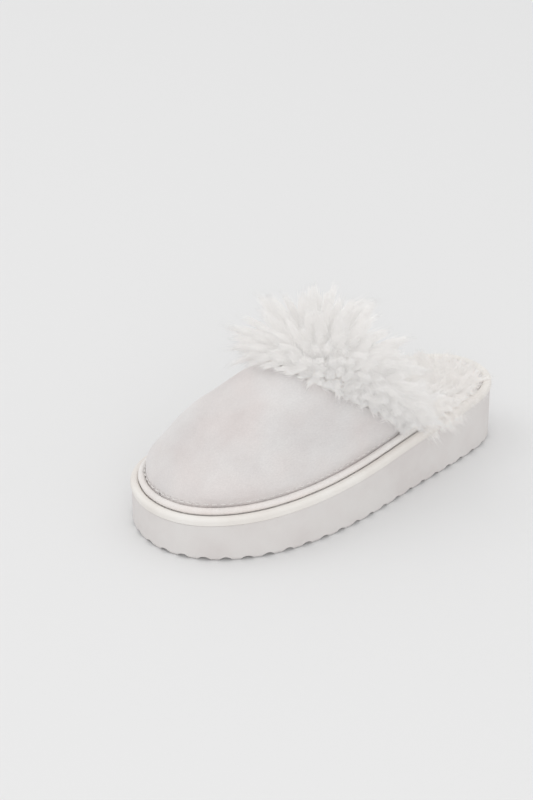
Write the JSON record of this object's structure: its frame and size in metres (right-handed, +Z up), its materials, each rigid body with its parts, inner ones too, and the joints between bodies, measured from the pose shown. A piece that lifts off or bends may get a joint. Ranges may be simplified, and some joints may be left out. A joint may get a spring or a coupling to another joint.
{
  "type": "fluffy house slipper",
  "caption": "Backless house slipper for the left foot: pale suede vamp, long-pile fur cuff, plush footbed and a thick cup sole with a beaded rim.",
  "frame": {"origin": "on the ground, under the middle of the slipper's bounding box", "axes": "+Z up, +Y from toe to heel, +X towards the lateral (outer) side of a left foot"},
  "size_m": [0.1138, 0.271, 0.1266],
  "materials": {
    "sole_foam": "matt moulded EVA foam, warm pale grey",
    "bead_foam": "smooth cream EVA foam",
    "piping_suede": "faux suede piping",
    "board": "stitched fibre lasting sock",
    "footbed_foam": "open-cell cushioning foam",
    "plush": "long-pile plush sock lining",
    "suede": "brushed faux suede, pale grey",
    "interlining": "laminated foam interlining",
    "toe_puff": "thermoplastic toe stiffener",
    "lining_plush": "short plush lining",
    "binding_tape": "woven tape",
    "fur": "long-pile faux fur, off-white",
    "thread": "polyester sewing thread"
  },
  "bodies": {
    "root": {"sole_unit": "sole_foam", "rim_bead": "bead_foam", "welt_piping": "piping_suede", "lasting_board": "board", "footbed_foam": "footbed_foam", "footbed_plush": "plush", "vamp_suede": "suede", "vamp_interlining": "interlining", "toe_puff": "toe_puff", "vamp_lining": "lining_plush", "edge_binding": "binding_tape", "fur_cuff": "fur", "welt_stitching": "thread", "cuff_stitching": "thread"}
  },
  "joints": []
}
